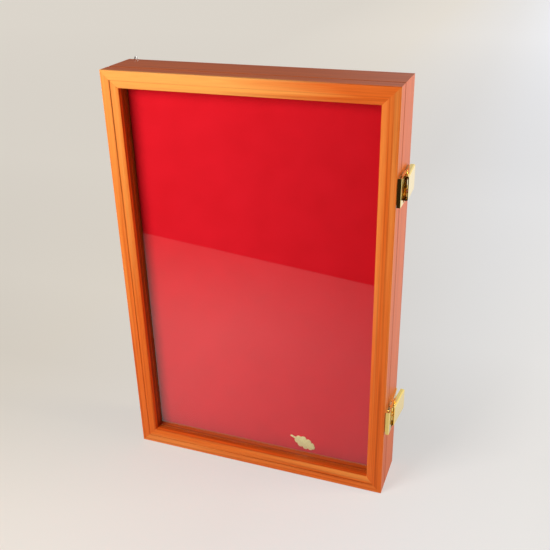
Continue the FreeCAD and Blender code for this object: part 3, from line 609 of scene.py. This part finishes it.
class CASE_OT_latches(bpy.types.Operator):
    """Finish the two draw latches, their keepers and screws"""
    bl_idname = "display_case.latches"
    bl_label = "Latches"

    def execute(self, context):
        brass = polished_brass("latch_brass", colour_of(colours().brass), 0.14, 3.0)
        for level in LEVELS:
            for part in ("keeper", "latch_base", "latch_lever", "latch_claw"):
                finish_node("%s_%s" % (level, part), brass, 0.28, 3)
            for part in ("latch_rivets", "claw_pin"):
                finish_node("%s_%s" % (level, part), brass, 0.1)
        for part in ("keeper_screws", "latch_base_screws"):
            finish_node(part, brass, 0.06)
        return {"FINISHED"}


class CASE_OT_back(bpy.types.Operator):
    """Finish the back panel, its brads and the hangers"""
    bl_idname = "display_case.back"
    bl_label = "Back"

    def execute(self, context):
        finish_node("back_panel", pressed_hardboard(), 0.4)
        steel = zinc_plate()
        finish_node("back_panel_brads", steel, 0.08)
        finish_node("hanger_screws", steel, 0.08)
        for side in ("left", "right"):
            finish_node(side + "_hanger_strap", steel, 0.1)
            finish_node(side + "_hanger_ring", steel)
        return {"FINISHED"}


# The setting

CAMERA_PLACE = (0.27679, -0.68065, 0.5971)
CAMERA_LOOK = (-0.3184, 0.83882, -0.44159)
CAMERA_ROLL = -1.338
PHOTO_SIZE = 550
FOCAL_PIXELS = 760.1
SENSOR = 36.0


def make_camera():
    """The camera where the photograph was taken from."""
    lens = bpy.data.cameras.new("camera")
    lens.sensor_width = SENSOR
    lens.lens = FOCAL_PIXELS / PHOTO_SIZE * SENSOR
    lens.clip_start = 0.02
    camera = bpy.data.objects.new("camera", lens)
    bpy.context.scene.collection.objects.link(camera)
    level = Vector(CAMERA_LOOK).to_track_quat("-Z", "Y").to_matrix().to_4x4()
    camera.matrix_world = (Matrix.Translation(Vector(CAMERA_PLACE)) @ level
                           @ Matrix.Rotation(math.radians(CAMERA_ROLL), 4, "Z"))
    bpy.context.scene.camera = camera


def make_lamp(name, place, target, size, power, tint):
    """A square soft lamp that faces a point."""
    light = bpy.data.lights.new(name, "AREA")
    light.shape = "SQUARE"
    light.size = size
    light.energy = power
    light.color = tint[:3]
    lamp = bpy.data.objects.new(name, light)
    bpy.context.scene.collection.objects.link(lamp)
    lamp.visible_camera = False
    lamp.location = place
    lamp.rotation_euler = (Vector(target) - Vector(place)).to_track_quat("-Z", "Y").to_euler()
    return lamp


def make_world():
    """A pale surround, dim overhead. Seen in a mirror it is pale at the sides and behind, a little dimmer behind on the
    left, and dark in front."""
    world = bpy.data.worlds.new("studio")
    bpy.context.scene.world = world
    world.use_nodes = True
    tree = world.node_tree
    tree.nodes.clear()
    way = add_node(tree, "ShaderNodeTexCoord").outputs["Generated"]
    split = add_node(tree, "ShaderNodeSeparateXYZ", [(way, "Vector")])
    high = shade_over(tree, [(0.15, (1, 1, 1, 1)), (0.6, (0.13, 0.13, 0.13, 1))], split.outputs["Z"])
    even = mixed(tree, 1.0, (0.37, 0.37, 0.37, 1), high, "MULTIPLY")
    forward = reckon(tree, "MULTIPLY_ADD", split.outputs["X"], 0.55, split.outputs["Y"])
    pale = shade_over(tree, [(0.0, (0.022, 0.015, 0.009, 1)), (0.25, (0.93, 0.93, 0.94, 1))],
                      reckon(tree, "ADD", forward, 0.1))
    dim = reckon(tree, "MULTIPLY", rise(tree, split.outputs["X"], -0.05, -0.3), rise(tree, split.outputs["Y"], 0.3, 0.6))
    mirror = mixed(tree, reckon(tree, "MULTIPLY", dim, 0.7), pale, (0.022, 0.015, 0.009, 1))
    path = add_node(tree, "ShaderNodeLightPath")
    seen = mixed(tree, path.outputs["Is Glossy Ray"], even, mirror)
    seen = mixed(tree, path.outputs["Is Camera Ray"], seen, linear("CAC9C6"))
    glow = add_node(tree, "ShaderNodeBackground", [(seen, "Color")], Strength=1.0)
    add_node(tree, "ShaderNodeOutputWorld", [(glow.outputs["Background"], "Surface")])


def floor_material():
    """A pale matt table, a little warmer on the left, lit evenly enough to leave only a faint shadow.
    Mirrored in glass or metal it ends at its front edge, with a dark room beyond."""
    material, tree, shader, out = new_material("pale_table")
    place = add_node(tree, "ShaderNodeTexCoord").outputs["Object"]
    split = add_node(tree, "ShaderNodeSeparateXYZ", [(place, "Vector")])
    tone = mixed(tree, rise(tree, split.outputs["X"], -0.4, 0.2), linear("F4EDE2"), linear("F0F0F2"))
    tree.links.new(tone, shader.inputs["Base Color"])
    shader.inputs["Roughness"].default_value = 0.8
    shader.inputs["Specular IOR Level"].default_value = 0.2
    path = add_node(tree, "ShaderNodeLightPath")
    mirrored, direct = path.outputs["Is Glossy Ray"], path.outputs["Is Camera Ray"]
    # The table's own glow: lowest just behind the case, higher far away, and highest far away on the right.
    depth = shade_over(tree, [(0.0, (0.6, 0.6, 0.6, 1)), (0.09, (0.58, 0.58, 0.58, 1)), (0.16, (0.68, 0.68, 0.68, 1)),
                              (0.35, (0.77, 0.77, 0.77, 1)), (1.0, (0.82, 0.82, 0.82, 1))],
                       rise(tree, split.outputs["Y"], -0.2, 3.0))
    corner = reckon(tree, "MULTIPLY", rise(tree, split.outputs["Y"], 1.2, 3.2), rise(tree, split.outputs["X"], -1.0, 0.0))
    strength = reckon(tree, "MULTIPLY_ADD", corner, 0.2, reckon(tree, "MULTIPLY", depth, 1.5))
    strength = reckon(tree, "MULTIPLY_ADD", rise(tree, split.outputs["X"], 0.0, 0.3), 0.17, strength)
    # Mirrored, the table is brightest near the case, on its left and beside it.
    near = add_node(tree, "ShaderNodeMapRange", [(split.outputs["Y"], "Value")], From_Min=-0.55, From_Max=-0.28,
                    To_Min=0.38, To_Max=1.25).outputs["Result"]
    left = add_node(tree, "ShaderNodeMapRange", [(split.outputs["X"], "Value")], From_Min=0.06, From_Max=-0.16,
                    To_Min=0.55, To_Max=1.0).outputs["Result"]
    sheen = reckon(tree, "MAXIMUM", reckon(tree, "MULTIPLY", near, left), rise(tree, split.outputs["X"], 0.12, 0.2))
    strength = reckon(tree, "MULTIPLY", strength, reckon(tree, "MULTIPLY_ADD", mirrored, reckon(tree, "SUBTRACT", sheen, 1.0), 1.0))
    lift = reckon(tree, "MAXIMUM", reckon(tree, "MULTIPLY", direct, 0.6), reckon(tree, "MULTIPLY", mirrored, 0.8))
    glow = add_node(tree, "ShaderNodeEmission", [(tone, "Color"), (strength, "Strength")])
    lifted = add_node(tree, "ShaderNodeMixShader",
                      [(lift, 0), (shader.outputs["BSDF"], 1), (glow.outputs["Emission"], 2)])
    edge = reckon(tree, "MULTIPLY_ADD", split.outputs["X"], 0.1757, -0.507)
    beyond = reckon(tree, "MULTIPLY_ADD", reckon(tree, "SUBTRACT", edge, split.outputs["Y"]), 200.0, 0.5)
    away = add_node(tree, "ShaderNodeClamp", [(beyond, "Value")]).outputs[0]
    hidden = reckon(tree, "MULTIPLY", away, mirrored)
    dark = add_node(tree, "ShaderNodeEmission", Color=(0.022, 0.015, 0.009, 1), Strength=1.0)
    both = add_node(tree, "ShaderNodeMixShader",
                    [(hidden, 0), (lifted.outputs["Shader"], 1), (dark.outputs["Emission"], 2)])
    tree.links.new(both.outputs["Shader"], out.inputs["Surface"])
    return material


def table_mesh(radius):
    """A wide flat table, round so that its far edge is level from every side."""
    mesh = bpy.data.meshes.new("table")
    build = bmesh.new()
    bmesh.ops.create_circle(build, cap_ends=True, radius=radius, segments=96)
    build.to_mesh(mesh)
    build.free()
    return mesh


class CASE_OT_stage(bpy.types.Operator):
    """Build the camera, the lamps and the table"""
    bl_idname = "display_case.stage"
    bl_label = "Studio"

    def execute(self, context):
        make_camera()
        make_world()
        ground = bpy.data.objects.new("table", table_mesh(9.0))
        context.scene.collection.objects.link(ground)
        ground.location.z = -0.0003
        ground.data.materials.append(floor_material())
        make_lamp("key", (-0.28, -0.62, 0.62), (0, 0, 0.14), 0.38, 5.3, linear("FFFAF4"))
        make_lamp("side", (1.1, 0.12, 0.66), (0, 0, 0.2), 0.45, 6.8, linear("FFF2D0"))
        context.scene.view_settings.view_transform = "Standard"
        return {"FINISHED"}


# Settings, panel and run

def colour_property(name, code, description):
    """A colour that the user can change."""
    return bpy.props.FloatVectorProperty(name=name, description=description, subtype="COLOR", size=3, min=0.0, max=1.0,
                                         default=linear(code)[:3])


class CaseColours(bpy.types.PropertyGroup):
    """The colours of the case"""
    pine: colour_property("Pine", "E56D20", "Stained wood")
    pine_pale: colour_property("Pale Pine", "FDB65C", "Pale sapwood in the stained wood")
    pine_dark: colour_property("Dark Pine", "C8540F", "Dark lines in the stained wood")
    felt: colour_property("Felt", "F2182B", "Red felt")
    felt_dark: colour_property("Dark Felt", "E81425", "Darker clouds in the felt")
    brass: colour_property("Brass", "FFE086", "Pressed brass")
    cast_brass: colour_property("Cast Brass", "FFF3B6", "Brass of the ornament")


class CaseSizes(bpy.types.PropertyGroup):
    """The sizes of the pieces that are built here"""
    ring_spacing: bpy.props.FloatProperty(name="Ring Spacing", description="Distance between growth lines",
                                          unit="LENGTH", default=2.4 * MM, min=0.5 * MM)
    felt_thickness: bpy.props.FloatProperty(name="Felt Thickness", description="Thickness of the felt",
                                            unit="LENGTH", default=1.2 * MM, min=0.2 * MM)
    felt_roll: bpy.props.FloatProperty(name="Felt Edge", description="Radius of the felt's rolled edges",
                                       unit="LENGTH", default=2.5 * MM, min=0.5 * MM)
    felt_wave: bpy.props.FloatProperty(name="Felt Unevenness", description="Depth of the pad's faint unevenness",
                                       unit="LENGTH", default=0.12 * MM, min=0.0)


OPERATORS = (CASE_OT_stage, CASE_OT_door_frame, CASE_OT_box_frame, CASE_OT_glass, CASE_OT_felt_pad, CASE_OT_ornament,
             CASE_OT_hinges, CASE_OT_latches, CASE_OT_back)


class CASE_PT_panel(bpy.types.Panel):
    """The case's pieces, sizes and colours"""
    bl_idname = "CASE_PT_panel"
    bl_label = "Display Case"
    bl_space_type = "VIEW_3D"
    bl_region_type = "UI"
    bl_category = "Display Case"

    def draw(self, context):
        for operator in OPERATORS:
            self.layout.operator(operator.bl_idname)
        for group in (context.scene.case_sizes, context.scene.case_colours):
            for name in group.__annotations__:
                self.layout.prop(group, name)


CLASSES = (CaseColours, CaseSizes) + OPERATORS + (CASE_PT_panel,)


def register():
    for cls in CLASSES:
        bpy.utils.register_class(cls)
    bpy.types.Scene.case_colours = bpy.props.PointerProperty(type=CaseColours)
    bpy.types.Scene.case_sizes = bpy.props.PointerProperty(type=CaseSizes)


def unregister():
    del bpy.types.Scene.case_sizes
    del bpy.types.Scene.case_colours
    for cls in reversed(CLASSES):
        bpy.utils.unregister_class(cls)


def main():
    """Build everything in order."""
    register()
    for operator in OPERATORS:
        group, name = operator.bl_idname.split(".")
        getattr(getattr(bpy.ops, group), name)()
    bpy.context.view_layer.update()


if __name__ == "__main__":
    main()
